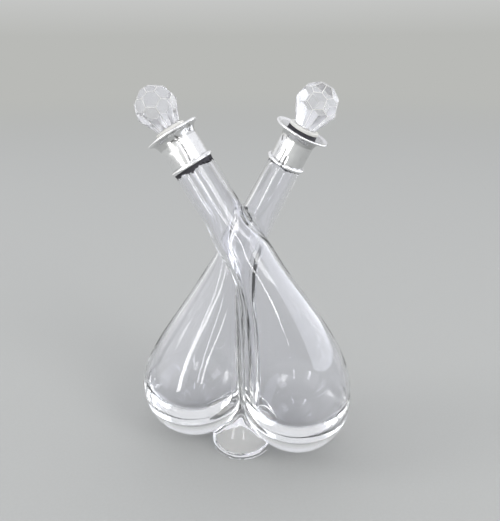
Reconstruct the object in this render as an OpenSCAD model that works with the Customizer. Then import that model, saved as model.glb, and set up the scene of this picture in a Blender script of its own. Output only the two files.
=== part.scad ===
// Oil and vinegar cruet: two blown glass bottles fused down one seam, their
// necks crossed, on one small glass foot. Each neck carries a silver collar
// bedded in dark cement, and each mouth a cut glass stopper.

/* [Bulbs] */
// Half width of a bulb at its widest, across the seam
bulb_r = 32; // [29:0.5:36]
// Height of the widest part of a bulb above the table
bulb_z = 38.5; // [36:0.5:44]
// How far the bulb's centre stands off the seam
bulb_x = 31.9; // [30:0.1:36]
// Depth of the rounded bottom below the widest part
bulb_drop = 34.5; // [28:0.5:36]
// Thickness of the glass under a chamber
base_wall = 17; // [10:0.5:20]
// How much higher a chamber is widest than its bulb
chamber_lift = 7; // [2:0.5:12]
// Thickness of a bulb's side wall
side_wall = 2.2; // [1.6:0.1:3.4]
// Thickness of the glass between the two chambers
seam_wall = 7; // [3:0.5:10]
// How far each bottle is melted into the other along the seam
seam_melt = 0.9; // [0.4:0.1:2]

/* [Necks] */
// How far each neck passes in front of or behind the middle
neck_offset = 8.6; // [7:0.2:11]
// Lean of the front neck from upright, in degrees
front_lean = 32.3; // [29:0.1:35]
// Lean of the back neck from upright, in degrees
back_lean = 27; // [25:0.1:31]
// How far the foot of the front collar stands off the middle
front_collar_x = 24; // [22:0.1:27]
// How far the foot of the back collar stands off the middle
back_collar_x = 21.2; // [19:0.1:25]
// Height of the foot of the front collar
front_collar_z = 176.2; // [170:0.2:186]
// Height of the foot of the back collar
back_collar_z = 175.6; // [170:0.2:186]
// Height at which the front neck becomes straight
front_bend_z = 138; // [125:1:142]
// Height at which the back neck becomes straight
back_bend_z = 113.5; // [105:0.5:125]
// Half width of the front neck just below its collar
front_neck_r = 10.4; // [9.6:0.1:11]
// Half width of the back neck just below its collar
back_neck_r = 9; // [8.8:0.1:10]
// Widening of the front neck for each millimetre below its collar
front_taper = 0.02; // [0:0.005:0.05]
// Widening of the back neck for each millimetre below its collar
back_taper = 0.045; // [0:0.005:0.06]
// Height over which the front bottle narrows from bulb to neck
front_spread = 62; // [50:1:66]
// Height over which the back bottle narrows from bulb to neck
back_spread = 43; // [38:1:60]
// Roundness of the shoulder
shoulder_power = 2.2; // [2:0.1:3]
// How far the glass steps in where a collar covers it
finish_step = 0.7; // [0.3:0.1:0.9]
// Half width of the ground mouth at its top
mouth_r = 6.6; // [5:0.1:7]
// Depth of the ground mouth
mouth_depth = 12.5; // [10:0.5:14]
// Narrowing of the ground mouth's half width for each millimetre of depth
mouth_taper = 0.05; // [0.03:0.01:0.08]

/* [Foot] */
// Half width of the foot where it stands
foot_r = 18.8; // [17:0.2:24]
// Height of the foot's bell
foot_h = 24; // [20:0.5:30]
// Height of the upright edge of the foot
foot_edge = 1.6; // [1:0.1:3]
// How bell-shaped the foot is, from 1 for a dome to 4 for a thin-waisted bell
foot_bell = 4; // [2:0.1:5]
// Half width of the glass drawn up from the foot into the notch under the seam
stem_r = 5; // [3:0.5:6]
// How far the foot sits to the left of the seam
foot_left = 1.7; // [0:0.1:4]
// How far the foot sits in front of the seam
foot_front = 1.4; // [0:0.1:3]
// Half width of the ground hollow under the foot
pontil_r = 11.5; // [6:0.5:14]
// Depth of the ground hollow under the foot
pontil_depth = 1.8; // [0.8:0.1:3]

/* [Collars] */
// Height of a collar from the middle of its foot ring to its rim
collar_h = 18.2; // [16:0.2:22]
// Half width of the flared rim
rim_r = 14.4; // [13.6:0.1:17]
// Half thickness of the rolled rim
rim_roll = 0.6; // [0.4:0.05:0.9]
// Height of the flare below the rim
flare_h = 6; // [4:0.2:9]
// Fall of the dished top from the rim to its middle
dish_fall = 2; // [1:0.1:3]
// Thickness of the silver
silver_wall = 0.4; // [0.3:0.05:0.6]
// Half thickness of the foot ring
ring_roll = 1; // [0.8:0.1:1.4]
// How far the middle of the foot ring stands off the collar's body
ring_proud = 0.5; // [0.2:0.1:0.8]
// Thickness of the cement between neck and collar
cement_wall = 0.3; // [0.2:0.05:0.5]
// How far the cement shows below the front collar's foot ring
front_cement_drop = 1.8; // [0.4:0.1:2.4]
// How far the cement shows below the back collar's foot ring
back_cement_drop = 0.6; // [0.4:0.1:2.4]
// Half width of the cement that shows round the mouth
cement_top_r = 7.9; // [7.6:0.1:8.1]

/* [Stoppers] */
// Distance across opposite facets of a stopper's ball
ball_across = 19.8; // [17:0.2:23]
// Height of the ball's middle above the foot of the collar
ball_s = 32.6; // [31:0.2:36]
// Facets in each ring round the ball
facet_count = 8; // [6:1:10]
// Tilt of the facets next to the top one, from the stopper's axis, in degrees
upper_tilt = 38; // [34:1:42]
// Tilt of the widest facets, in degrees
middle_tilt = 72; // [68:1:76]
// Tilt of the facets that narrow towards the throat, in degrees
lower_tilt = 114; // [108:1:120]
// How far the front stopper is turned in its mouth, in degrees
front_turn = 22.5; // [0:0.5:45]
// How far the back stopper is turned in its mouth, in degrees
back_turn = 0; // [0:0.5:45]
// Half width of the stopper's throat
throat_r = 5.6; // [4.6:0.1:6]
// Half width of the disc above the mouth
disc_r = 7.9; // [7:0.1:9]
// Thickness of the disc
disc_t = 1.6; // [1:0.1:2.4]
// Length of the ground plug
plug_len = 13; // [9:0.5:14]
// Clearance round the ground plug
plug_gap = 0.06; // [0.04:0.01:0.09]
// Clearance under the disc
disc_gap = 0.2; // [0.1:0.05:0.5]

/* [Hidden] */
$fn = 64;

// Faces round a bottle and round a chamber, and levels up a bulb and a body
shell_sides = 40;
chamber_sides = 32;
bulb_levels = 8;
body_levels = 21;

// A quarter turn, in degrees
quarter = 90;

// Places along a neck's axis, counted from the middle of the collar's foot ring
dish_s = collar_h - dish_fall;
glass_top_s = dish_s - silver_wall - cement_wall;
cement_top_s = collar_h + cement_wall;
tube_low_s = -mouth_r - ring_roll;
bore_low_s = -mouth_r / 2;
chamber_top_s = ring_roll;
disc_low_s = cement_top_s + disc_gap;
throat_low_s = disc_low_s + disc_t;
plug_low_s = disc_low_s - plug_len;
ball_r = ball_across / 2;
blank_r = 1.12 * ball_r;

// Heights above the table: of a bulb's lowest point, of the notch where the two bulbs part,
// and of a chamber's floor and its widest level
bulb_low_z = bulb_z - bulb_drop;
notch_z = bulb_z - bulb_drop * sin(acos(bulb_x / (bulb_x + seam_melt)));
floor_z = bulb_low_z + base_wall;
chamber_z = bulb_z + chamber_lift;

// One bottle's sizes, kept together so that one set of modules draws both
FRONT = [front_neck_r, front_taper, front_spread, front_lean, front_collar_x, front_collar_z,
         front_bend_z, front_cement_drop, front_turn, 1];
BACK = [back_neck_r, back_taper, back_spread, back_lean, back_collar_x, back_collar_z,
        back_bend_z, back_cement_drop, back_turn, -1];
function neck_r(b) = b[0];
function taper(b) = b[1];
function spread(b) = b[2];
function lean(b) = b[3];
function collar_x(b) = b[4];
function collar_z(b) = b[5];
function bend_z(b) = b[6];
function cement_low_s(b) = -ring_roll - b[7];
function stopper_turn(b) = b[8];
function side(b) = b[9];

// The centre line runs straight from the collar to the bend, then curves down into the bulb
function straight_x(b, z) = (collar_z(b) - z) * tan(lean(b)) - collar_x(b);
function bend_h(b) = bend_z(b) - bulb_z;
function bulb_rise(b) = 2 * (bulb_x - straight_x(b, bend_z(b))) / bend_h(b) - tan(lean(b));
function below_bend(b, z) = min(max(bend_z(b) - z, 0), bend_h(b));
function centre_x(b, z) = straight_x(b, max(z, bend_z(b))) + tan(lean(b)) * below_bend(b, z)
    - (tan(lean(b)) - bulb_rise(b)) * pow(below_bend(b, z), 2) / (2 * bend_h(b));
function centre_rise(b, z) =
    tan(lean(b)) - (tan(lean(b)) - bulb_rise(b)) * below_bend(b, z) / bend_h(b);
function climb(b, z) = 1 - below_bend(b, z) / bend_h(b);
function centre_y(b, z) = -neck_offset * (3 * pow(climb(b, z), 2) - 2 * pow(climb(b, z), 3));
function cross_z(b) = collar_z(b) - collar_x(b) / tan(lean(b));

// Half width of a bottle at a height, square to its centre line
function neck_base(b, z) = neck_r(b) + taper(b) * (collar_z(b) - z);
function body_r(b, z) = neck_base(b, z)
    + (bulb_r - neck_base(b, bulb_z)) * exp(-pow(max(z - bulb_z, 0) / spread(b), shoulder_power));

// Half length of a level section across a neck that leans, in a direction with this x share
function level_reach(r, rise, share) = r * sqrt(1 + pow(rise * share, 2));

// A level ring of points: half ellipses that meet on a line along the seam
function level_ring(z, c, n, out, along, in, sides) = [
    for (i = [0 : sides - 1])
    let (a = 360 * i / sides, u = cos(a), v = sin(a), f = u >= 0 ? out : in,
         reach = 1 / sqrt(pow(u / f, 2) + pow(v / along, 2)))
    [c[0] + reach * (u * n[0] - v * n[1]), c[1] + reach * (u * n[1] + v * n[0]), z]];

// Below the crossing a shell reaches into the seam, and a chamber stops short of it
function shell_ring(b, z, r) =
    let (c = [centre_x(b, z), centre_y(b, z)], off = norm(c), n = c / off, rise = centre_rise(b, z),
         out = level_reach(r, rise, n[0]), along = level_reach(r, rise, n[1]))
    level_ring(z, c, n, out, along, z < cross_z(b) ? max(out, off + seam_melt) : out, shell_sides);

function chamber_ring(b, z, r) =
    let (c = [centre_x(b, z), centre_y(b, z)], off = norm(c), n = c / off, rise = centre_rise(b, z),
         out = level_reach(r, rise, n[0]), along = level_reach(r, rise, n[1]),
         room = off - seam_wall / 2)
    level_ring(z, c, n, out, along, z < cross_z(b) ? room : min(out, room), chamber_sides);

// Rings of a rounded bottom, from near its lowest point up to the level where it is widest
function bowl(c, low, wide, r, in, sides) = [
    for (i = [1 : bulb_levels])
    let (t = quarter * (1 - i / (bulb_levels + 1)), k = cos(t))
    level_ring(wide - (wide - low) * sin(t), c, c / norm(c), r * k, r * k, in * k, sides)];

module skin(rings, low, high) {
    sides = len(rings[0]);
    last = len(rings) - 1;
    points = concat([for (ring = rings) for (p = ring) p], [low, high]);
    polyhedron(points = points, convexity = 6, faces = concat(
        [for (j = [0 : last - 1]) for (i = [0 : sides - 1]) let (k = (i + 1) % sides)
            [j * sides + i, (j + 1) * sides + i, (j + 1) * sides + k]],
        [for (j = [0 : last - 1]) for (i = [0 : sides - 1]) let (k = (i + 1) % sides)
            [j * sides + i, (j + 1) * sides + k, j * sides + k]],
        [for (i = [0 : sides - 1]) [i, (i + 1) % sides, len(points) - 2]],
        [for (i = [0 : sides - 1])
            [last * sides + (i + 1) % sides, last * sides + i, len(points) - 1]]));
}

function spread_levels(low, top) = [for (i = [0 : body_levels - 1])
    low + (top - low) * i / (body_levels - 1)];

// The blown outside runs up into the collar and is cut square where the cement begins
module shell(b) {
    top = collar_z(b) + neck_r(b) * sin(lean(b));
    block = 4 * neck_r(b);
    difference() {
        skin(concat(bowl([bulb_x, 0], bulb_low_z, bulb_z, bulb_r, bulb_x + seam_melt, shell_sides),
                    [for (z = spread_levels(bulb_z, top)) shell_ring(b, z, body_r(b, z))]),
             [bulb_x, 0, bulb_low_z],
             [centre_x(b, top), centre_y(b, top), top]);
        at_neck(b) translate([-block / 2, -block / 2, cement_low_s(b)]) cube([block, block, block]);
    }
}

module chamber(b) {
    top = collar_z(b) + chamber_top_s * cos(lean(b));
    roof = top + mouth_r / 3;
    c = [centre_x(b, chamber_z), centre_y(b, chamber_z)];
    skin(concat(bowl(c, floor_z, chamber_z, body_r(b, chamber_z) - side_wall,
                     norm(c) - seam_wall / 2, chamber_sides),
                [for (z = spread_levels(chamber_z, top)) chamber_ring(b, z, body_r(b, z) - side_wall)],
                [chamber_ring(b, roof, mouth_r / 2)]),
         [c[0], c[1], floor_z],
         [centre_x(b, roof), centre_y(b, roof), roof]);
}

// Puts what is drawn along +Z onto a neck, at the middle of its collar's foot ring
module at_neck(b) {
    translate([-collar_x(b), -neck_offset, collar_z(b)]) rotate([0, -lean(b), 0]) children();
}

// Both bottles are drawn bulging to the right. The back one is then turned half round
module bottle_side(b) { rotate([0, 0, side(b) > 0 ? 0 : 180]) children(); }

module on_neck(b) { bottle_side(b) at_neck(b) children(); }

// Under the collar the glass is a plain tube, a step smaller than the blown neck
function finish_r(b) = neck_r(b) - finish_step;

module neck_tube(b) {
    on_neck(b) translate([0, 0, tube_low_s])
        cylinder(r = finish_r(b), h = glass_top_s - tube_low_s);
}

module neck_bore(b) {
    low_r = mouth_r - mouth_taper * mouth_depth;
    on_neck(b) rotate_extrude() polygon([
        [0, bore_low_s], [low_r, bore_low_s],
        [low_r, glass_top_s - mouth_depth], [mouth_r, glass_top_s],
        [mouth_r, cement_top_s], [0, cement_top_s]]);
}

// The foot is a bell of solid glass, drawn up as a stem into the notch and the seam above it
module foot() {
    steps = 10;
    hollow_r = (pow(pontil_r, 2) + pow(pontil_depth, 2)) / (2 * pontil_depth);
    stem_top = notch_z + stem_r;
    translate([-foot_left, -foot_front, 0]) difference() {
        rotate_extrude() polygon(concat(
            [[0, 0], [foot_r, 0]],
            [for (i = [0 : steps]) let (t = quarter * i / steps)
                [stem_r + (foot_r - stem_r) * pow(cos(t), foot_bell),
                 foot_edge + (foot_h - foot_edge) * sin(t)]],
            [[stem_r, stem_top], [0, stem_top]]));
        translate([0, 0, pontil_depth - hollow_r]) sphere(r = hollow_r);
    }
}

module twin_bottle() {
    color([0.86, 0.89, 0.9, 0.35]) difference() {
        union() {
            for (b = [FRONT, BACK]) {
                bottle_side(b) shell(b);
                neck_tube(b);
            }
            foot();
        }
        for (b = [FRONT, BACK]) {
            bottle_side(b) chamber(b);
            neck_bore(b);
        }
    }
}

function collar_bore_r(b) = finish_r(b) + cement_wall;
function collar_body_r(b) = collar_bore_r(b) + silver_wall;

// The collar's outer wall: a quarter of an ellipse from the straight body out to the rim
function flare(r) = [
    for (i = [0 : 8])
    let (t = quarter * i / 8, out = rim_r - rim_roll)
    [out - (out - r) * cos(t), collar_h - flare_h + (flare_h - 2 * rim_roll) * sin(t)]];

// Spun silver: foot ring, straight body, flared rim and a dished top with a hole for the mouth
module collar(b) {
    bore = collar_bore_r(b);
    body = collar_body_r(b);
    color([0.83, 0.83, 0.82]) on_neck(b) rotate_extrude() difference() {
        union() {
            polygon(concat(
                [[bore, -ring_roll], [body, -ring_roll]], flare(body),
                [[rim_r - rim_roll, collar_h], [cement_top_r, dish_s],
                 [cement_top_r, dish_s - silver_wall], [bore, dish_s - silver_wall]]));
            translate([rim_r - rim_roll, collar_h - rim_roll]) circle(r = rim_roll);
            translate([body + ring_proud, 0]) circle(r = ring_roll);
        }
        translate([0, -2 * ring_roll]) square([bore, 4 * ring_roll]);
    }
}

// Dark bedding cement: a fillet under the foot ring, a film up the neck, and a lip round the mouth
module cement(b) {
    bore = collar_bore_r(b);
    lip_r = mouth_r + cement_wall;
    color([0.16, 0.15, 0.17]) on_neck(b) rotate_extrude() polygon([
        [finish_r(b), cement_low_s(b)], [neck_r(b), cement_low_s(b)],
        [collar_body_r(b) + ring_proud, -ring_roll], [bore, -ring_roll],
        [bore, dish_s - silver_wall], [cement_top_r, dish_s - silver_wall],
        [cement_top_r, cement_top_s], [lip_r, cement_top_s],
        [lip_r, glass_top_s], [finish_r(b), glass_top_s]]);
}

// Radius of the ground plug at a place along the neck: the mouth's own taper, less the clearance
function plug_r(s) = mouth_r + mouth_taper * (s - glass_top_s) - plug_gap;

// Tilt of each ring of facets from the ball's top, and how many facets it has
facet_rings = [[0, 1], [upper_tilt, facet_count], [middle_tilt, facet_count],
               [lower_tilt, facet_count]];

// The ball starts as a round blank and is ground flat facet by facet, each ring turned half a
// facet from the last
module cut_ball() {
    block = 2 * ball_across;
    difference() {
        sphere(r = blank_r);
        for (k = [0 : len(facet_rings) - 1])
            for (i = [0 : facet_rings[k][1] - 1])
                rotate([0, facet_rings[k][0], 360 * (i + k / 2) / facet_rings[k][1]])
                    translate([-block / 2, -block / 2, ball_r]) cube([block, block, ball_r]);
    }
}

module stopper(b) {
    plug_tip = plug_len / 20;
    edge = disc_t / 4;
    neck_s = throat_low_s + 3 * edge;
    into_ball_s = ball_s - 0.7 * ball_r;
    color([0.93, 0.94, 0.96, 0.5]) on_neck(b) union() {
        rotate_extrude() polygon([
            [0, plug_low_s], [plug_r(plug_low_s) - plug_tip, plug_low_s],
            [plug_r(plug_low_s + plug_tip), plug_low_s + plug_tip],
            [plug_r(disc_low_s), disc_low_s], [disc_r - edge, disc_low_s],
            [disc_r, disc_low_s + edge], [disc_r, throat_low_s - edge],
            [disc_r - edge, throat_low_s], [throat_r + edge, throat_low_s + edge],
            [throat_r, neck_s], [throat_r, into_ball_s], [0, into_ball_s]]);
        translate([0, 0, ball_s]) rotate([0, 0, stopper_turn(b)]) cut_ball();
    }
}

module front_collar() { collar(FRONT); }
module back_collar() { collar(BACK); }
module front_cement() { cement(FRONT); }
module back_cement() { cement(BACK); }
module front_stopper() { stopper(FRONT); }
module back_stopper() { stopper(BACK); }

twin_bottle();
front_collar();
back_collar();
front_cement();
back_cement();
front_stopper();
back_stopper();
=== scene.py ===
from math import acos, asin, atan2, cos, degrees, exp, hypot, pi, radians, sin, sqrt, tan

import bmesh
import bpy
from mathutils import Matrix, Vector, noise


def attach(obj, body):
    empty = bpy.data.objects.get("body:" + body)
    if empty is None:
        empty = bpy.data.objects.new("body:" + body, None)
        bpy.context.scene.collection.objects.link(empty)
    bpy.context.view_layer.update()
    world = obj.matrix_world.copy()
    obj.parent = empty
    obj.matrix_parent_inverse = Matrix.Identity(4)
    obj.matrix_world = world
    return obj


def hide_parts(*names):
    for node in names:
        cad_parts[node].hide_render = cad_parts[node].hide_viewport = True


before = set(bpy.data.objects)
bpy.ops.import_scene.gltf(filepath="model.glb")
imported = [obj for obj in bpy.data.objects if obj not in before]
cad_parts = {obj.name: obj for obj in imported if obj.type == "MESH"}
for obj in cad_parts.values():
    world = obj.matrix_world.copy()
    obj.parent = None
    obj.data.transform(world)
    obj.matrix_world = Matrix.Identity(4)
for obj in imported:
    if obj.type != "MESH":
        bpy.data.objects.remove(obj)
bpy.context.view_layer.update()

# The twin bottle is colourless soda-lime glass, which carries all the rest: two bottles blown by
# hand, bent until their necks cross and melted together down one seam, then set hot on a dome of
# solid glass. The dome's underside and both mouths are ground, the rest is fire-polished.
MM = 0.001

# Sizes are in millimetres. A name that ends in _S is a height along a neck from its foot ring
BULB_R, BULB_Z, BULB_X, BULB_DROP = 32, 38.5, 31.9, 34.5
BASE_WALL, SIDE_WALL, SEAM_WALL, SEAM_MELT, CHAMBER_LIFT = 15, 2.2, 7, 0.9, 5
NECK_OFFSET, SHOULDER_POWER, FINISH_STEP = 8.6, 2.2, 0.7
MOUTH_R, MOUTH_DEPTH, MOUTH_TAPER = 6.6, 12.5, 0.05
FOOT_R, FOOT_H, FOOT_EDGE, STEM_R = 18.6, 24, 1.6, 5
FOOT_X, FOOT_Y = -1.2, -3.4
PONTIL_R, PONTIL_DEPTH = 11.5, 1.8
FOOT_STEPS, PONTIL_STEPS = 16, 6

# Each bottle is drawn where the one in front stands. The one behind is then given half a turn
FRONT = {"name": "front", "neck_r": 10.4, "taper": 0.02, "spread": 62, "lean": radians(32.3),
         "collar_x": 24, "collar_z": 176.2, "bend_z": 138, "cement_drop": 1.8, "half_turn": 0}
BACK = {"name": "back", "neck_r": 9, "taper": 0.045, "spread": 43, "lean": radians(27),
        "collar_x": 21.2, "collar_z": 175.6, "bend_z": 113.5, "cement_drop": 0.6, "half_turn": pi}

COLLAR_H, DISH_FALL, SILVER_WALL, RING_ROLL, CEMENT_WALL = 18.2, 2, 0.4, 1, 0.3
DISH_S = COLLAR_H - DISH_FALL
GLASS_TOP_S = DISH_S - SILVER_WALL - CEMENT_WALL
CEMENT_TOP_S = COLLAR_H + CEMENT_WALL
BULB_LOW_Z = BULB_Z - BULB_DROP
NOTCH_Z = BULB_Z - BULB_DROP * sin(acos(BULB_X / (BULB_X + SEAM_MELT)))
STEM_TOP = NOTCH_Z + STEM_R
VOXEL = 0.9
WELD, ON_PLANE = 1e-4, 1e-5


def cement_low_s(b):
    """Where the cement's band under a foot ring ends."""
    return -RING_ROLL - b["cement_drop"]


def centre(b, z):
    """Where a bottle's centre line passes a height, and how far it moves across for each
    millimetre down. It is straight down to the bend, then curves into the bulb."""
    lean = tan(b["lean"])
    bend_h = b["bend_z"] - BULB_Z
    straight = (b["collar_z"] - max(z, b["bend_z"])) * lean - b["collar_x"]
    at_bend = (b["collar_z"] - b["bend_z"]) * lean - b["collar_x"]
    low = min(max(b["bend_z"] - z, 0), bend_h)
    bulb_lean = 2 * (BULB_X - at_bend) / bend_h - lean
    x = straight + lean * low - (lean - bulb_lean) * low ** 2 / (2 * bend_h)
    climb = 1 - low / bend_h
    y = -NECK_OFFSET * (3 * climb ** 2 - 2 * climb ** 3)
    return Vector((x, y)), lean - (lean - bulb_lean) * low / bend_h


def body_r(b, z):
    """Half width of a bottle at a height, square to its centre line."""
    neck = b["neck_r"] + b["taper"] * (b["collar_z"] - z)
    bulb_neck = b["neck_r"] + b["taper"] * (b["collar_z"] - BULB_Z)
    return neck + (BULB_R - bulb_neck) * exp(-(max(z - BULB_Z, 0) / b["spread"]) ** SHOULDER_POWER)


def blown(out, off, crossed):
    """Reach of the blown outside towards the other bottle: past the seam, which melts them."""
    return out if crossed else max(out, off + SEAM_MELT)


def hollow(out, off, crossed):
    """Reach of a chamber towards the other bottle: the seam's wall stays between them."""
    room = off - SEAM_WALL / 2
    return min(out, room) if crossed else room


OUTSIDE = {"wall": 0, "wide_z": BULB_Z, "low_z": BULB_LOW_Z, "inward": blown}
CHAMBER = {"wall": SIDE_WALL, "wide_z": BULB_Z + CHAMBER_LIFT, "low_z": BULB_LOW_Z + BASE_WALL,
           "inward": hollow}


def skin_point(b, skin, z, turn):
    """A point of a bottle's level section: two half ellipses that meet on a line along the seam.
    Below its widest level the skin closes as the lower half of an egg."""
    wide = max(z, skin["wide_z"])
    c, rise = centre(b, wide)
    off = c.length
    n = c / off
    r = body_r(b, wide) - skin["wall"]
    out = r * sqrt(1 + (rise * n.x) ** 2)
    along = r * sqrt(1 + (rise * n.y) ** 2)
    u = cos(turn) * n.x + sin(turn) * n.y
    v = cos(turn) * n.y - sin(turn) * n.x
    crossed = wide >= b["collar_z"] - b["collar_x"] / tan(b["lean"])
    across = out if u >= 0 else skin["inward"](out, off, crossed)
    fall = (wide - z) / (skin["wide_z"] - skin["low_z"])
    reach = sqrt(max(1 - fall ** 2, 0)) / sqrt((u / across) ** 2 + (v / along) ** 2)
    return Vector((c.x + reach * cos(turn), c.y + reach * sin(turn), z))


def bottle_skin(b, skin, top, bowl_rings=20, body_rings=56, sides=96):
    """Draws one bottle's skin up from its lowest point: a fan of faces grows ring by ring, and
    each ring is laid on the next level's section."""
    drop = skin["wide_z"] - skin["low_z"]
    levels = [skin["wide_z"] - drop * cos(pi / 2 * i / bowl_rings) for i in range(1, bowl_rings)]
    levels += [skin["wide_z"] + (top - skin["wide_z"]) * i / body_rings for i in range(body_rings + 1)]
    bm = bmesh.new()
    bmesh.ops.create_circle(bm, cap_ends=True, cap_tris=True, segments=sides, radius=1)
    turn_of = bm.verts.layers.float.new("turn")
    for vert in bm.verts:
        vert[turn_of] = atan2(vert.co.y, vert.co.x)
        if not vert.is_boundary:
            vert.co = (*centre(b, skin["wide_z"])[0], skin["low_z"])
    ring = [e for e in bm.edges if e.is_boundary]
    for k, z in enumerate(levels):
        if k > 0:
            ring = [g for g in bmesh.ops.extrude_edge_only(bm, edges=ring)["geom"]
                    if isinstance(g, bmesh.types.BMEdge) and g.is_boundary]
        for vert in {v for e in ring for v in e.verts}:
            vert.co = skin_point(b, skin, z, vert[turn_of])
    bmesh.ops.contextual_create(bm, geom=ring)
    bmesh.ops.recalc_face_normals(bm, faces=bm.faces)
    bmesh.ops.rotate(bm, cent=(0, 0, 0), matrix=Matrix.Rotation(b["half_turn"], 3, "Z"), verts=bm.verts)
    return bm


def on_neck(b):
    """Takes what is drawn along +Z, in millimetres, onto a neck at its collar's foot ring."""
    return (Matrix.Rotation(b["half_turn"], 4, "Z")
            @ Matrix.Translation((-b["collar_x"], -NECK_OFFSET, b["collar_z"]))
            @ Matrix.Rotation(-b["lean"], 4, "Y"))


def spun(profile, place=Matrix.Identity(4), steps=96):
    """A solid turned round +Z from a closed profile of (radius, height), then put in its place."""
    bm = bmesh.new()
    verts = [bm.verts.new((r, 0, z)) for r, z in profile]
    edges = [bm.edges.new((verts[i - 1], verts[i])) for i in range(len(verts))]
    bmesh.ops.spin(bm, geom=verts + edges, axis=(0, 0, 1), cent=(0, 0, 0), angle=2 * pi,
                   steps=steps, use_merge=True)
    bmesh.ops.remove_doubles(bm, verts=bm.verts, dist=WELD)
    bmesh.ops.dissolve_degenerate(bm, edges=bm.edges, dist=WELD)
    bmesh.ops.recalc_face_normals(bm, faces=bm.faces)
    bmesh.ops.transform(bm, matrix=place, verts=bm.verts)
    return bm


def cut_flat(bm, place, normal):
    """Cuts off what lies beyond a plane and closes the cut with a flat."""
    bmesh.ops.bisect_plane(bm, geom=bm.verts[:] + bm.edges[:] + bm.faces[:], dist=ON_PLANE,
                           plane_co=place, plane_no=normal, clear_outer=True)
    bmesh.ops.holes_fill(bm, edges=[e for e in bm.edges if e.is_boundary])


def add_to(whole, piece):
    """Adds one piece's faces to a mesh that holds several."""
    mesh = bpy.data.meshes.new("piece")
    piece.to_mesh(mesh)
    piece.free()
    whole.from_mesh(mesh)
    bpy.data.meshes.remove(mesh)


def as_object(name, bm, scale=MM):
    """Makes an object of a mesh that was drawn in millimetres."""
    bmesh.ops.scale(bm, vec=(scale,) * 3, verts=bm.verts)
    mesh = bpy.data.meshes.new(name)
    bm.to_mesh(mesh)
    bm.free()
    obj = bpy.data.objects.new(name, mesh)
    bpy.context.collection.objects.link(obj)
    return obj


def settle(obj):
    """Makes an object's modifiers part of its mesh."""
    graph = bpy.context.evaluated_depsgraph_get()
    mesh = bpy.data.meshes.new_from_object(obj.evaluated_get(graph), depsgraph=graph)
    obj.modifiers.clear()
    old, obj.data = obj.data, mesh
    bpy.data.meshes.remove(old)
    mesh.name = obj.name


def join_or_cut(obj, tool, operation):
    """Joins a tool's solid to an object, or cuts it out, and takes the tool away."""
    boolean = obj.modifiers.new("tool", "BOOLEAN")
    boolean.operation = operation
    boolean.solver = "MANIFOLD"
    boolean.object = tool
    settle(obj)
    bpy.data.objects.remove(tool)


def polish(obj, sharp):
    """Smooth shading, broken only at edges sharper than an angle in degrees."""
    for face in obj.data.polygons:
        face.use_smooth = True
    obj.data.set_sharp_from_angle(angle=radians(sharp))


# Both bottles, the narrower finishes that go up inside the collars, and the foot
bottle_mesh = bmesh.new()
for b in (FRONT, BACK):
    blown_bottle = bottle_skin(b, OUTSIDE, b["collar_z"] + b["neck_r"] * sin(b["lean"]))
    neck = on_neck(b)
    cut_flat(blown_bottle, neck @ Vector((0, 0, cement_low_s(b))), neck.to_3x3() @ Vector((0, 0, 1)))
    add_to(bottle_mesh, blown_bottle)
    finish_r = b["neck_r"] - FINISH_STEP
    finish_low_s = -MOUTH_R - RING_ROLL
    add_to(bottle_mesh, spun([(0, finish_low_s), (finish_r, finish_low_s), (finish_r, GLASS_TOP_S),
                              (0, GLASS_TOP_S)], neck))


def foot_point(share):
    """A point of the foot's dome, from its edge at 0 to the stem's beginning at 1."""
    t = pi / 2 * share
    return STEM_R + (FOOT_R - STEM_R) * cos(t), FOOT_EDGE + (FOOT_H - FOOT_EDGE) * sin(t)


def pontil_point(share):
    """A point of the ground hollow, from its middle at 0 to its edge at 1."""
    return PONTIL_R * share, PONTIL_DEPTH * (1 - share ** 2)


foot = [pontil_point(i / PONTIL_STEPS) for i in range(PONTIL_STEPS + 1)] + [(FOOT_R, 0)]
foot += [foot_point(i / FOOT_STEPS) for i in range(FOOT_STEPS + 1)]
foot += [(STEM_R, STEM_TOP), (0, STEM_TOP)]
add_to(bottle_mesh, spun(foot, Matrix.Translation((FOOT_X, FOOT_Y, 0))))

# The melt: every join flows together, and the fire polishes it
bottle = as_object("twin_bottle_glass", bottle_mesh)
melt = bottle.modifiers.new("melt", "REMESH")
melt.mode = "VOXEL"
melt.voxel_size = VOXEL * MM
fire_polish = bottle.modifiers.new("fire_polish", "SMOOTH")
fire_polish.factor = 0.5
fire_polish.iterations = 6
settle(bottle)

# How far the softened seam and the softened joint at the foot reach, and the skin's slow waves
SOFT_START, SOFT_EDGE = 1, 3.5
SEAM_HALF, SEAM_LOW, SEAM_HIGH, SEAM_SOFTENINGS = 6, 4, 150, 16
FOOT_JOINT_R, FOOT_JOINT_RISE = 9, 1
SKIN_NEAR, CEMENT_CLEAR = 1.5, 0.5
WAVE_LONG, WAVE_DEEP = 14, 0.12


def outside_of(b, point):
    """How far a point lies outside a bottle's blown skin, and the point of the skin beside it."""
    there = Matrix.Rotation(b["half_turn"], 3, "Z")
    p = there @ point
    if p.z >= BULB_Z:
        c = centre(b, p.z)[0]
        skin = skin_point(b, OUTSIDE, p.z, atan2(p.y - c.y, p.x - c.x))
        return (p.xy - c).length - (skin.xy - c).length, there @ skin
    middle = Vector((BULB_X, 0, BULB_Z))
    spoke = p - middle
    half = (BULB_R if spoke.x >= 0 else BULB_X + SEAM_MELT, BULB_R, BULB_DROP)
    size = sqrt(sum((spoke[k] / half[k]) ** 2 for k in range(3)))
    return spoke.length * (1 - 1 / size), there @ (middle + spoke / size)


def outside_of_foot(p):
    """How far a point lies outside the foot and its stem, roughly, for the blend into the bulbs."""
    if p.z > STEM_TOP + SOFT_EDGE:
        return SOFT_EDGE + SOFT_START
    return max(hypot(p.x - FOOT_X, p.y - FOOT_Y) - FOOT_JOINT_R, p.z - STEM_TOP - FOOT_JOINT_RISE)


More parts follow.
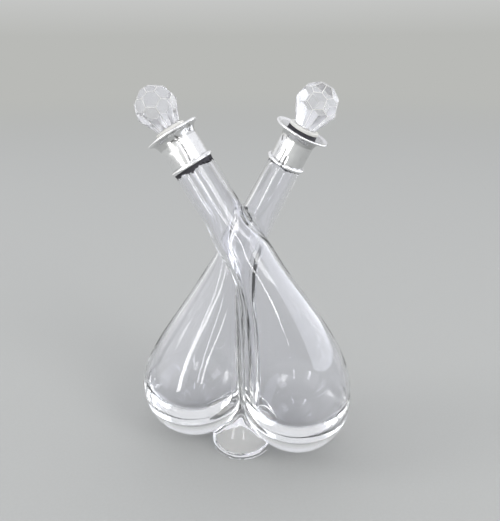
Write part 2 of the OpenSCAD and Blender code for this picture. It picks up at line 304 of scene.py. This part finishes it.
# The seam and the foot's joint stay soft. Clear of them the skin goes back to its true form, with
# the slow waves that hand blowing leaves
molten = bmesh.new()
molten.from_mesh(bottle.data)
bmesh.ops.scale(molten, vec=(1 / MM,) * 3, verts=molten.verts)
for turn in range(SEAM_SOFTENINGS):
    seam = [v for v in molten.verts if abs(v.co.x) < SEAM_HALF and SEAM_LOW < v.co.z < SEAM_HIGH]
    bmesh.ops.smooth_vert(molten, verts=seam, factor=0.5,
                          use_axis_x=True, use_axis_y=True, use_axis_z=True)
for vert in molten.verts:
    (near, skin, own), (apart, _, other) = sorted(
        ((*outside_of(b, vert.co), b) for b in (FRONT, BACK)), key=lambda found: abs(found[0]))
    under_collar = (on_neck(own).inverted() @ vert.co).z > cement_low_s(own) - CEMENT_CLEAR
    if under_collar or near > SKIN_NEAR:
        continue
    share = min(max((min(apart, outside_of_foot(vert.co)) - SOFT_START) / SOFT_EDGE, 0), 1)
    vert.co = vert.co.lerp(skin, share * share * (3 - 2 * share))
    wave = noise.noise(vert.co / WAVE_LONG) * WAVE_DEEP
    vert.co += vert.normal * wave * share
bmesh.ops.scale(molten, vec=(MM,) * 3, verts=molten.verts)
molten.to_mesh(bottle.data)
molten.free()

# The two chambers and the ground mouths
low_r = MOUTH_R - MOUTH_TAPER * MOUTH_DEPTH
for b in (FRONT, BACK):
    top = b["collar_z"] + RING_ROLL * cos(b["lean"])
    join_or_cut(bottle, as_object("chamber", bottle_skin(b, CHAMBER, top)), "DIFFERENCE")
    mouth = spun([(0, -MOUTH_R / 2), (low_r, -MOUTH_R / 2), (low_r, GLASS_TOP_S - MOUTH_DEPTH),
                  (MOUTH_R, GLASS_TOP_S), (MOUTH_R, CEMENT_TOP_S), (0, CEMENT_TOP_S)], on_neck(b))
    join_or_cut(bottle, as_object("mouth", mouth), "DIFFERENCE")
polish(bottle, 50)


def linear(colour):
    """An sRGB hex colour as the linear values that a shader takes."""
    parts = [int(colour[i:i + 2], 16) / 255 for i in (1, 3, 5)]
    return [p / 12.92 if p <= 0.04045 else ((p + 0.055) / 1.055) ** 2.4 for p in parts] + [1]


def add_node(tree, kind, links=(), **settings):
    """Adds a node, sets its properties or its sockets, and links (socket, source) into it."""
    node = tree.nodes.new(kind)
    for name, value in settings.items():
        if hasattr(node, name):
            setattr(node, name, value)
        else:
            node.inputs[name.replace("_", " ")].default_value = value
    for socket, source in links:
        tree.links.new(source, node.inputs[socket])
    return node


def new_material(name):
    """A material and its tree of nodes, which starts empty."""
    material = bpy.data.materials.new(name)
    material.use_nodes = True
    material.node_tree.nodes.clear()
    return material, material.node_tree


# Blown soda-lime glass: the fire's own polish leaves it clear and smooth, with the faint ripple of
# hand work. Use has left the least trace of haze, and its thick parts show a grey tint
BLOWN_TINT, THICK_TINT, THICK_TINT_DENSITY = "#FCFCFF", "#E2E4DC", 5.0
BLOWN_CLEAR = 0.992
RIPPLE_MM, RIPPLE_DEEP = 9, 0.02
blown_glass, tree = new_material("blown_soda_glass")
coords = add_node(tree, "ShaderNodeTexCoord")
ripple = add_node(tree, "ShaderNodeTexNoise", links=[("Vector", coords.outputs["Object"])],
                  Scale=1 / (RIPPLE_MM * MM), Detail=1.0)
bump = add_node(tree, "ShaderNodeBump", links=[("Height", ripple.outputs["Fac"])],
                Strength=0.35, Distance=RIPPLE_DEEP * MM)
shader = add_node(tree, "ShaderNodeBsdfPrincipled", links=[("Normal", bump.outputs["Normal"])],
                  Base_Color=linear(BLOWN_TINT), Roughness=0.0, IOR=1.5,
                  Transmission_Weight=BLOWN_CLEAR)
thick_tint = add_node(tree, "ShaderNodeVolumeAbsorption",
                      Color=linear(THICK_TINT), Density=THICK_TINT_DENSITY)
add_node(tree, "ShaderNodeOutputMaterial", links=[("Surface", shader.outputs["BSDF"]),
                                                  ("Volume", thick_tint.outputs["Volume"])])

# Ground glass: worn with wet grit, so that it is frosted and passes light but no image. The grit's
# marks are drawn coarser than they are, so that they show
GROUND_TONE = "#FDFCF6"
GRIT_MM, GRIT_DEEP = 0.25, 0.03
ground_glass, tree = new_material("ground_glass")
coords = add_node(tree, "ShaderNodeTexCoord")
grit = add_node(tree, "ShaderNodeTexNoise", links=[("Vector", coords.outputs["Object"])],
                Scale=1 / (GRIT_MM * MM), Detail=2.0)
rough = add_node(tree, "ShaderNodeMapRange", links=[("Value", grit.outputs["Fac"])],
                 To_Min=0.35, To_Max=0.6)
bump = add_node(tree, "ShaderNodeBump", links=[("Height", grit.outputs["Fac"])],
                Strength=0.3, Distance=GRIT_DEEP * MM)
shader = add_node(tree, "ShaderNodeBsdfPrincipled",
                  links=[("Normal", bump.outputs["Normal"]), ("Roughness", rough.outputs["Result"])],
                  Base_Color=linear(GROUND_TONE), IOR=1.5, Transmission_Weight=0.15)
add_node(tree, "ShaderNodeOutputMaterial", links=[("Surface", shader.outputs["BSDF"])])

bottle.data.materials.clear()
bottle.data.materials.append(blown_glass)
bottle.data.materials.append(ground_glass)
GROUND_NEAR, GROUND_ABOVE, PONTIL_SHARE = 0.1, 1, 0.9
into_neck = [on_neck(b).inverted() for b in (FRONT, BACK)]
for face in bottle.data.polygons:
    middle = face.center / MM
    at_mouth = [neck @ middle for neck in into_neck]
    in_hollow = hypot(middle.x - FOOT_X, middle.y - FOOT_Y) < PONTIL_R * PONTIL_SHARE
    under_foot = middle.z < PONTIL_DEPTH + GROUND_NEAR and in_hollow
    in_mouth = any(p.xy.length < MOUTH_R + GROUND_NEAR
                   and GLASS_TOP_S - MOUTH_DEPTH < p.z < GLASS_TOP_S + GROUND_ABOVE for p in at_mouth)
    face.material_index = 1 if under_foot or in_mouth else 0
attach(bottle, "root")
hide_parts("twin_bottle")


# The bedding cement is a dark setting compound, pressed in soft between glass and silver. It
# squeezed out under each foot ring in an uneven band and stands as a black lip round the mouth.
CEMENT_TOP_R = 7.9
CEMENT_PRESSED, CEMENT_PROUD, LIP_UNEVEN = 0.05, 0.08, 0.15
RING_PROUD = 0.5
BEAD_STEPS = 6

# Set compound: almost black and quite matt, with a fine crumb that is drawn coarser than it is
CEMENT_DARK, CEMENT_PALE = "#17161A", "#4A484F"
CRUMB_MM, CRUMB_DEEP = 0.5, 0.15
cement_paint, tree = new_material("bedding_cement")
coords = add_node(tree, "ShaderNodeTexCoord")
crumb = add_node(tree, "ShaderNodeTexNoise", links=[("Vector", coords.outputs["Object"])],
                 Scale=1 / (CRUMB_MM * MM), Detail=3.0)
tone = add_node(tree, "ShaderNodeMix", data_type="RGBA", links=[("Factor", crumb.outputs["Fac"])])
tone.inputs["A"].default_value = linear(CEMENT_DARK)
tone.inputs["B"].default_value = linear(CEMENT_PALE)
bump = add_node(tree, "ShaderNodeBump", links=[("Height", crumb.outputs["Fac"])],
                Strength=0.6, Distance=CRUMB_DEEP * MM)
shader = add_node(tree, "ShaderNodeBsdfPrincipled",
                  links=[("Normal", bump.outputs["Normal"]), ("Base Color", tone.outputs["Result"])],
                  Roughness=0.75)
add_node(tree, "ShaderNodeOutputMaterial", links=[("Surface", shader.outputs["BSDF"])])


def squeezed(b, turn):
    """How far the cement has run past its usual edge, in millimetres, at a turn round the neck."""
    out = Vector((cos(turn), sin(turn), b["half_turn"]))
    return b["cement_drop"] * (0.5 * noise.noise(out * 2.1) + 0.9 * noise.noise(out * 5.3)
                               + 0.9 * noise.noise(out * 11))


ROUND_STEPS = 144
for b in (FRONT, BACK):
    finish_r = b["neck_r"] - FINISH_STEP
    bore_r = finish_r + CEMENT_WALL
    collar_r = bore_r + SILVER_WALL
    neck_side = b["neck_r"] + CEMENT_PROUD
    glass_side = finish_r - CEMENT_PRESSED
    lip_r = MOUTH_R + CEMENT_WALL
    low_s = cement_low_s(b)

    # The band squeezed out under the foot ring, the bed inside the collar, then the rounded lip
    band = [(glass_side, low_s), (neck_side, low_s)]
    for i in range(1, BEAD_STEPS + 1):
        t = pi / 2 * i / BEAD_STEPS
        band.append((neck_side + (collar_r + RING_PROUD - b["neck_r"]) * (1 - cos(t)),
                     low_s + b["cement_drop"] * sin(t)))
    bed = [(bore_r, -RING_ROLL), (bore_r, DISH_S - SILVER_WALL), (CEMENT_TOP_R, DISH_S - SILVER_WALL)]
    lip = [(CEMENT_TOP_R, DISH_S + 0.2), (CEMENT_TOP_R - 0.2, CEMENT_TOP_S - 0.25),
           (CEMENT_TOP_R - 0.45, CEMENT_TOP_S), (lip_r, CEMENT_TOP_S), (lip_r, GLASS_TOP_S)]
    bm = spun(band + bed + lip + [(glass_side, GLASS_TOP_S)], steps=ROUND_STEPS)
    for vert in bm.verts:
        turn = atan2(vert.co.y, vert.co.x)
        if vert.co.z < -RING_ROLL - 0.01:
            vert.co.z += squeezed(b, turn) * (-RING_ROLL - vert.co.z) / b["cement_drop"]
        elif vert.co.z > DISH_S:
            vert.co.z -= LIP_UNEVEN * max(noise.noise(vert.co * 0.9), 0)
    bmesh.ops.transform(bm, matrix=on_neck(b), verts=bm.verts)
    cement = as_object(b["name"] + "_bedding", bm)
    polish(cement, 35)
    cement.data.materials.append(cement_paint)
    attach(cement, "root")
    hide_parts(b["name"] + "_cement")


# The collars are thin sheet silver, spun to a flared rim with a dished top, seamed down one side
# and finished with a soldered foot ring. Use has dented and creased them. Shade is painted dark
# into the creases, the corner over the foot ring and under the rim.
RIM_R, RIM_ROLL, FLARE_H = 14.4, 0.6, 6
SHEET_STEP, BEND_STEPS, ROLL_STEPS = 0.45, 14, 8
CREASE_WIDE, CREASE_DEEP = 0.42, 0.25
BUCKLE_LONG, BUCKLE_DEEP, RIM_WAVE = 4.5, 0.1, 0.35
BORE_SKIN, LEAST_WALL = 0.1, 0.15

# Each crease runs through points of (millimetres across from the side that faces front, height
# above the foot ring). Each dent has such a place, a half width and a depth.
FRONT["faces"], BACK["faces"] = radians(-66.5), radians(92.6)
FRONT["creases"] = [[(0.1, 15.1), (1.2, 13.6), (0.0, 13.0), (1.0, 10.2), (0.8, 7.4), (0.7, 4.5),
                     (0.1, 2.0)],
                    [(-3.4, 13.5), (-2.0, 13.9), (0.0, 13.0)],
                    [(-4.4, 11.7), (-4.3, 9.8)],
                    [(8.0, 15.2), (9.6, 13.8), (10.6, 16.4)]]
FRONT["dents"] = [((-5.5, 13.6), 3.6, 0.9), ((0.5, 13.2), 2.2, 0.35), ((4.5, 7.5), 4.0, 0.18),
                  ((9.3, 14.6), 2.4, 0.5), ((-14, 8), 4.5, 0.25), ((22, 9), 4.0, 0.28)]
BACK["creases"] = [[(-3.3, 7.5), (-3.2, 0.9)], [(-0.8, 4.9), (-0.7, 0.9)],
                   [(-9.6, 12.4), (-8.2, 10.4)], [(-0.9, 1.1), (-0.9, -1.2)]]
BACK["dents"] = [((-8.6, 12.0), 2.2, 0.4), ((-3.2, 4.0), 1.1, 0.14), ((-0.7, 2.6), 1.0, 0.14),
                 ((6.0, 9.0), 4.2, 0.2), ((17, 7), 4.0, 0.26), ((-18, 10), 3.6, 0.24)]


def arc(middle, r, start, end, steps):
    """Points of (radius, height) on part of a circle, from one turn in degrees to another."""
    turns = [radians(start + (end - start) * i / steps) for i in range(steps + 1)]
    return [(middle[0] + r * cos(t), middle[1] + r * sin(t)) for t in turns]


def evenly(points, step):
    """The same outline, with a point at least every step along it."""
    fine = []
    for a, b in zip(points, points[1:]):
        count = max(1, round(hypot(b[0] - a[0], b[1] - a[1]) / step))
        fine += [(a[0] + (b[0] - a[0]) * i / count, a[1] + (b[1] - a[1]) * i / count)
                 for i in range(count)]
    return fine + points[-1:]


def from_crease(place, crease):
    """Distance from a place to a crease's line."""
    nearest = 99
    for a, b in zip(crease, crease[1:]):
        a, b = Vector(a), Vector(b)
        along = b - a
        share = min(max((place - a).dot(along) / along.length_squared, 0), 1)
        nearest = min(nearest, (place - a - along * share).length)
    return nearest


# Sheet silver, polished by hand: a bright, almost white mirror, which handling has softened in
# patches. Painted shade darkens its creases, corners and undersides, and real tarnish lies in specks
SILVER_TONE, TARNISH_AND_SHADE_TONE = "#F7F7F7", "#2A2926"
HANDLED_MM, HANDLED_DEEP, SPECK_MM = 5, 0.12, 0.9
silver, tree = new_material("sheet_silver")
coords = add_node(tree, "ShaderNodeTexCoord")
handled = add_node(tree, "ShaderNodeTexNoise", links=[("Vector", coords.outputs["Object"])],
                   Scale=1 / (HANDLED_MM * MM), Detail=3.0)
specks = add_node(tree, "ShaderNodeTexNoise", links=[("Vector", coords.outputs["Object"])],
                  Scale=1 / (SPECK_MM * MM), Detail=2.0)
# Painted shade from the collar's points; the specks below are real tarnish
shade_attribute = add_node(tree, "ShaderNodeAttribute", attribute_name="painted_shade")
spots = add_node(tree, "ShaderNodeMapRange", links=[("Value", specks.outputs["Fac"])],
                 From_Min=0.58, From_Max=0.8, To_Min=0.0, To_Max=0.35)
shade_and_specks = add_node(tree, "ShaderNodeMath", operation="ADD", use_clamp=True,
                links=[(0, shade_attribute.outputs["Fac"]), (1, spots.outputs["Result"])])
tone = add_node(tree, "ShaderNodeMix", data_type="RGBA", links=[("Factor", shade_and_specks.outputs["Value"])])
tone.inputs["A"].default_value = linear(SILVER_TONE)
tone.inputs["B"].default_value = linear(TARNISH_AND_SHADE_TONE)
rough = add_node(tree, "ShaderNodeMapRange", links=[("Value", handled.outputs["Fac"])],
                 To_Min=0.16, To_Max=0.3)
bump = add_node(tree, "ShaderNodeBump", links=[("Height", handled.outputs["Fac"])],
                Strength=0.5, Distance=HANDLED_DEEP * MM)
shader = add_node(tree, "ShaderNodeBsdfPrincipled", Metallic=1.0,
                  links=[("Base Color", tone.outputs["Result"]), ("Roughness", rough.outputs["Result"]),
                         ("Normal", bump.outputs["Normal"])])
add_node(tree, "ShaderNodeOutputMaterial", links=[("Surface", shader.outputs["BSDF"])])

# Painted shade, as a share of full black: in the creases, in the corner over the foot ring, under
# the flared rim, and on the right half of the collar behind, which is turned from the light
CREASE_SHADE, UNDER_RIM_SHADE = 0.95, 0.25
CORNER_SHADE_WIDE, CORNER_SHADE_PATCH_MM = 0.4, 2.5
AWAY_SIDE_SHADE, AWAY_SIDE_FROM, AWAY_SIDE_OVER = 0.2, 1, 6

for b in (FRONT, BACK):
    bore_r = b["neck_r"] - FINISH_STEP + CEMENT_WALL
    collar_r = bore_r + SILVER_WALL
    rim_middle = (RIM_R - RIM_ROLL, COLLAR_H - RIM_ROLL)
    ring_middle = (collar_r + RING_PROUD, 0)
    meets = degrees(asin(RING_PROUD / RING_ROLL))
    outer = arc(ring_middle, RING_ROLL, -90 - meets, 90 + meets, BEND_STEPS)
    for i in range(BEND_STEPS + 1):
        t = pi / 2 * i / BEND_STEPS
        outer.append((rim_middle[0] - (rim_middle[0] - collar_r) * cos(t),
                      COLLAR_H - FLARE_H + (FLARE_H - 2 * RIM_ROLL) * sin(t)))
    outer += arc(rim_middle, RIM_ROLL, -90, 90, ROLL_STEPS)[1:]
    dish = [(CEMENT_TOP_R, DISH_S), (CEMENT_TOP_R, DISH_S - SILVER_WALL),
            (bore_r, DISH_S - SILVER_WALL), (bore_r, -RING_ROLL * cos(radians(meets)))]
    bm = spun(evenly(outer + dish, SHEET_STEP), steps=ROUND_STEPS)
    # Each point's painted shade, as a share of full black
    painted_shade = bm.verts.layers.float.new("painted_shade")
    for vert in bm.verts:
        r = vert.co.xy.length
        s = vert.co.z
        turn = (atan2(vert.co.y, vert.co.x) - b["faces"] + pi) % (2 * pi) - pi
        place = Vector((turn * r, s))
        # Closeness to a crease: it dents the sheet and sets the painted shade along the crease
        in_crease = max(exp(-(from_crease(place, crease) / CREASE_WIDE) ** 2) for crease in b["creases"])
        pushed = sum(deep * exp(-((place - Vector(at)).length / wide) ** 2)
                     for at, wide, deep in b["dents"])
        on_sheet = min(max((r - bore_r) / SILVER_WALL, 0), 1)
        buckle = BUCKLE_DEEP * noise.noise(vert.co / BUCKLE_LONG)
        lip = min(max(s - DISH_S, 0) / DISH_FALL, 1)
        inward = (pushed * (1 - lip) + in_crease * CREASE_DEEP + buckle) * on_sheet
        if r > bore_r + BORE_SKIN:
            around = Vector((cos(turn), sin(turn), 3 + b["half_turn"]))
            vert.co.xy *= 1 - min(inward, max(r - bore_r - LEAST_WALL, 0)) / r
            vert.co.z += RIM_WAVE * noise.noise(around * 1.3) * lip
        # Painted shade in the corner over the foot ring, in uneven patches
        corner_shade = 0
        if r < collar_r + CORNER_SHADE_WIDE:
            patch = 0.35 + 0.65 * noise.noise(vert.co / CORNER_SHADE_PATCH_MM)
            corner_shade = exp(-((s - RING_ROLL) / CORNER_SHADE_WIDE) ** 2) * patch
        # Painted shade on the right half of the collar behind, turned from the light, and under the rim
        side_and_rim_shade = AWAY_SIDE_SHADE * min(max((place.x - AWAY_SIDE_FROM) / AWAY_SIDE_OVER, 0), 1) if b is BACK else 0
        if r < RIM_R - RIM_ROLL and COLLAR_H - FLARE_H < s < COLLAR_H - RIM_ROLL:
            side_and_rim_shade += UNDER_RIM_SHADE
        # Painted shade in the creases, the corner, under the rim and on the far side, as a share of
        # black
        vert[painted_shade] = min(max(CREASE_SHADE * in_crease, corner_shade, side_and_rim_shade, 0), 1)
    bmesh.ops.transform(bm, matrix=on_neck(b), verts=bm.verts)
    collar = as_object(b["name"] + "_silver_collar", bm)
    polish(collar, 40)
    collar.data.materials.append(silver)
    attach(collar, "root")
    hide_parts(b["name"] + "_collar")


# The stoppers are heavy lead glass: a ball cut all over with eight-sided rings of flat facets, a
# short throat, a disc that rests over the mouth, and a plug ground to fit it.
BALL_ACROSS, BALL_S, BALL_TAPER, BLANK_SHARE = 19.8, 32.6, 1.25, 1.12
FACET_COUNT, UPPER_TILT, MIDDLE_TILT, LOWER_TILT = 8, 38, 72, 114
NEIGHBOURS_WITHIN, ARRIS_DEEP = 48, 0.035
FRONT["turned"], BACK["turned"] = 22.5, 0
THROAT_R, DISC_R, DISC_T = 5.6, 7.9, 1.6
PLUG_LEN, PLUG_EDGE, PLUG_GAP, DISC_GAP = 13, 0.6, 0.06, 0.2
BALL_R = BALL_ACROSS / 2
DISC_S = CEMENT_TOP_S + DISC_GAP
THROAT_S = DISC_S + DISC_T
STEM_TOP_S = BALL_S - 0.7 * BALL_R

# Cut lead glass: bends light more than the bottle's, so that its flats flash. Wear has dulled their
# wheel polish a little, and they glow pale instead of showing what lies behind them
CUT_TINT = "#FCFCFF"
RUBBED_MM, RUBBED_DEEP = 2.5, 0.02
cut_glass, tree = new_material("cut_lead_glass")
coords = add_node(tree, "ShaderNodeTexCoord")
wear = add_node(tree, "ShaderNodeTexNoise", links=[("Vector", coords.outputs["Object"])],
                Scale=1 / (RUBBED_MM * MM), Detail=2.0)
bump = add_node(tree, "ShaderNodeBump", links=[("Height", wear.outputs["Fac"])],
                Strength=0.3, Distance=RUBBED_DEEP * MM)
shader = add_node(tree, "ShaderNodeBsdfPrincipled", links=[("Normal", bump.outputs["Normal"])],
                  Base_Color=linear(CUT_TINT), Roughness=0.13, IOR=1.56, Transmission_Weight=0.8)
add_node(tree, "ShaderNodeOutputMaterial", links=[("Surface", shader.outputs["BSDF"])])


def facet_normals():
    """The way each facet faces, ring by ring. Each ring is turned half a facet from the last."""
    normals = [Vector((0, 0, 1))]
    for k, tilt in enumerate((UPPER_TILT, MIDDLE_TILT, LOWER_TILT), start=1):
        for i in range(FACET_COUNT):
            turn = 2 * pi * (i + k / 2) / FACET_COUNT
            normals.append(Vector((sin(radians(tilt)) * cos(turn), sin(radians(tilt)) * sin(turn),
                                   cos(radians(tilt)))))
    return normals


# A face turned off every flat is an arris that wear has left matt, like the ground disc and plug
FLAT_WITHIN, ARRISES_FROM_S, CLEAR_END_R = 4, BALL_S - 0.8 * BALL_R, 1
for b in (FRONT, BACK):
    ball = bmesh.new()
    bmesh.ops.create_icosphere(ball, subdivisions=5, radius=BLANK_SHARE * BALL_R)
    bmesh.ops.scale(ball, vec=(1, 1, BALL_TAPER), verts=[v for v in ball.verts if v.co.z < 0])
    normals = facet_normals()
    for normal in normals:
        cut_flat(ball, normal * BALL_R, normal)
    for i, one in enumerate(normals):
        for other in normals[:i]:
            if one.angle(other) < radians(NEIGHBOURS_WITHIN):
                arris = BALL_R / cos(one.angle(other) / 2)
                between = (one + other).normalized()
                cut_flat(ball, between * (arris - ARRIS_DEEP), between)
    bmesh.ops.recalc_face_normals(ball, faces=ball.faces)
    bmesh.ops.transform(ball, matrix=Matrix.Translation((0, 0, BALL_S))
                        @ Matrix.Rotation(radians(b["turned"]), 4, "Z"), verts=ball.verts)
    plug_top = MOUTH_R + MOUTH_TAPER * (DISC_S - GLASS_TOP_S) - PLUG_GAP
    plug_low = plug_top - MOUTH_TAPER * PLUG_LEN
    plug_low_s = DISC_S - PLUG_LEN
    edge = DISC_T / 4
    stem = [(0, plug_low_s)] + arc((plug_low - PLUG_EDGE, plug_low_s + PLUG_EDGE), PLUG_EDGE, -90, 0, 5)
    stem += [(plug_top, DISC_S)] + arc((DISC_R - edge, DISC_S + edge), edge, -90, 0, 6)
    stem += arc((DISC_R - edge, THROAT_S - edge), edge, 0, 90, 6)
    stem += arc((THROAT_R + 2 * edge, THROAT_S + 2 * edge), 2 * edge, 270, 180, 6)
    stem += [(THROAT_R, STEM_TOP_S), (0, STEM_TOP_S)]
    bmesh.ops.transform(ball, matrix=on_neck(b), verts=ball.verts)
    stopper = as_object(b["name"] + "_cut_stopper", ball)
    join_or_cut(stopper, as_object("stem", spun(stem, on_neck(b))), "UNION")
    polish(stopper, 12)
    stopper.data.materials.clear()
    stopper.data.materials.append(cut_glass)
    stopper.data.materials.append(ground_glass)
    into = on_neck(b).inverted()
    turned = [Matrix.Rotation(radians(b["turned"]), 3, "Z") @ normal for normal in normals]
    for face in stopper.data.polygons:
        middle = into @ (face.center / MM)
        faces = into.to_3x3() @ face.normal
        off_flat = min(faces.angle(normal) for normal in turned)
        worn = middle.z > ARRISES_FROM_S and off_flat > radians(FLAT_WITHIN)
        ground = middle.z < THROAT_S + GROUND_NEAR and middle.xy.length > CLEAR_END_R
        face.material_index = 1 if worn or ground else 0
    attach(stopper, b["name"] + "_stopper")
    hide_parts(b["name"] + "_stopper")


# The cruet stands on a plain sheet of pale grey paper that runs far out on all sides. Away from the
# cruet it fades into the grey of the studio's horizon.
SHEET_HALF_M, FADE_FROM_M, FADE_TO_M = 60, 0.35, 3.0

# Matt paper: even and soft, with a faint grain that is drawn coarser than it is
PAPER_TONE, GRAIN_TONE = "#B9BAB7", "#BEBFBD"
GRAIN_MM = 1.5
paper, tree = new_material("matt_paper")
coords = add_node(tree, "ShaderNodeTexCoord")
grain = add_node(tree, "ShaderNodeTexNoise", links=[("Vector", coords.outputs["Object"])],
                 Scale=1 / (GRAIN_MM * MM), Detail=2.0)
tone = add_node(tree, "ShaderNodeMix", data_type="RGBA", links=[("Factor", grain.outputs["Fac"])])
tone.inputs["A"].default_value = linear(PAPER_TONE)
tone.inputs["B"].default_value = linear(GRAIN_TONE)
shader = add_node(tree, "ShaderNodeBsdfPrincipled", links=[("Base Color", tone.outputs["Result"])],
                  Roughness=0.9, Specular_IOR_Level=0.0)
reach = add_node(tree, "ShaderNodeVectorMath", operation="LENGTH",
                 links=[("Vector", coords.outputs["Object"])])
fade = add_node(tree, "ShaderNodeMapRange", interpolation_type="SMOOTHERSTEP",
                links=[("Value", reach.outputs["Value"])],
                From_Min=FADE_FROM_M, From_Max=FADE_TO_M, To_Min=0.0, To_Max=1.0)
away = add_node(tree, "ShaderNodeEmission", Color=linear(PAPER_TONE), Strength=1.0)
sheet_end = add_node(tree, "ShaderNodeMixShader",
                     links=[(0, fade.outputs["Result"]), (1, shader.outputs["BSDF"]),
                            (2, away.outputs["Emission"])])
add_node(tree, "ShaderNodeOutputMaterial", links=[("Surface", sheet_end.outputs["Shader"])])
sheet = bmesh.new()
bmesh.ops.create_grid(sheet, x_segments=1, y_segments=1, size=SHEET_HALF_M)
floor = as_object("floor", sheet, scale=1)
floor.data.materials.append(paper)


# The studio is even and pale, grey at the horizon and white overhead. A large soft window stands at
# each side. Cards and strips of light near the cruet show only as streaks in its glass and silver.
OVERHEAD_TONE, HORIZON_TO, OVERHEAD_FROM = "#F1F2F6", 0.02, 0.33
world = bpy.data.worlds.new("studio")
bpy.context.scene.world = world
world.use_nodes = True
tree = world.node_tree
tree.nodes.clear()
coords = add_node(tree, "ShaderNodeTexCoord")
split = add_node(tree, "ShaderNodeSeparateXYZ", links=[("Vector", coords.outputs["Generated"])])
ramp = add_node(tree, "ShaderNodeValToRGB", links=[("Fac", split.outputs["Z"])])
ramp.color_ramp.elements[0].position = HORIZON_TO
ramp.color_ramp.elements[0].color = linear(PAPER_TONE)
ramp.color_ramp.elements[1].position = OVERHEAD_FROM
ramp.color_ramp.elements[1].color = linear(OVERHEAD_TONE)
back = add_node(tree, "ShaderNodeBackground", links=[("Color", ramp.outputs["Color"])], Strength=1.0)
add_node(tree, "ShaderNodeOutputWorld", links=[("Surface", back.outputs["Background"])])

# Light crosses many walls of glass before it leaves the cruet
bpy.context.scene.cycles.max_bounces = 32
bpy.context.scene.cycles.transmission_bounces = 32
bpy.context.scene.cycles.glossy_bounces = 16


def softbox(name, place, size, glow, aim=(0, 0, 0.1), tint=(1, 1, 1), lights_paper=True):
    """A flat lamp turned to the cruet, in metres. Its glow is 1 where it looks just white."""
    data = bpy.data.lights.new(name, "AREA")
    data.shape = "RECTANGLE"
    data.size, data.size_y = size
    data.energy = glow * pi * size[0] * size[1]
    data.color = tint
    lamp = bpy.data.objects.new(name, data)
    lamp.location = place
    lamp.rotation_euler = (Vector(aim) - Vector(place)).to_track_quat("-Z", "Y").to_euler()
    lamp.visible_diffuse = lights_paper
    bpy.context.collection.objects.link(lamp)


def card(name, place, size, glow, tint=(1, 1, 1)):
    """A lit card or strip that faces the cruet level, and shows only in its glass and silver."""
    softbox(name, place, size, glow, aim=(0, 0, place[2]), tint=tint, lights_paper=False)


softbox("right_window", (1.6, -0.9, 1.3), (0.8, 1.2), 3.6)
softbox("left_window", (-1.6, -0.6, 1.2), (0.6, 1.0), 3.2)
card("left_card", (-0.557, -0.5, 0.42), (1.1, 0.8), 0.85)
card("left_strip", (-0.234, -0.552, 0.19), (0.065, 0.36), 9)
card("right_strip", (0.27, -0.75, 0.3), (0.05, 0.52), 11)
card("right_card", (0.485, 0.121, 0.2), (0.93, 0.38), 1.7, tint=(0.88, 0.91, 1))
card("back_left_card", (-0.7, 0.25, 0.15), (0.4, 0.28), 0.6)

# The camera stands where the photograph's did. Its place, aim, tilt and lens were worked out from
# the ellipses of the foot, the foot rings and the rims.
CAMERA_PLACE = (0.0661, -0.2506, 0.2300)
CAMERA_TURN, CAMERA_DOWN, CAMERA_TILT = radians(13.955), radians(22.635), radians(-0.361)
LENS_MM = 35.19
camera = bpy.data.objects.new("camera", bpy.data.cameras.new("camera"))
camera.data.lens = LENS_MM
camera.data.sensor_fit = "VERTICAL"
camera.data.sensor_height = 36
camera.data.clip_start = 0.01
camera.matrix_world = (Matrix.Translation(CAMERA_PLACE) @ Matrix.Rotation(CAMERA_TURN, 4, "Z")
                       @ Matrix.Rotation(pi / 2 - CAMERA_DOWN, 4, "X")
                       @ Matrix.Rotation(CAMERA_TILT, 4, "Z"))
bpy.context.collection.objects.link(camera)
bpy.context.scene.camera = camera
bpy.context.scene.view_settings.view_transform = "Standard"
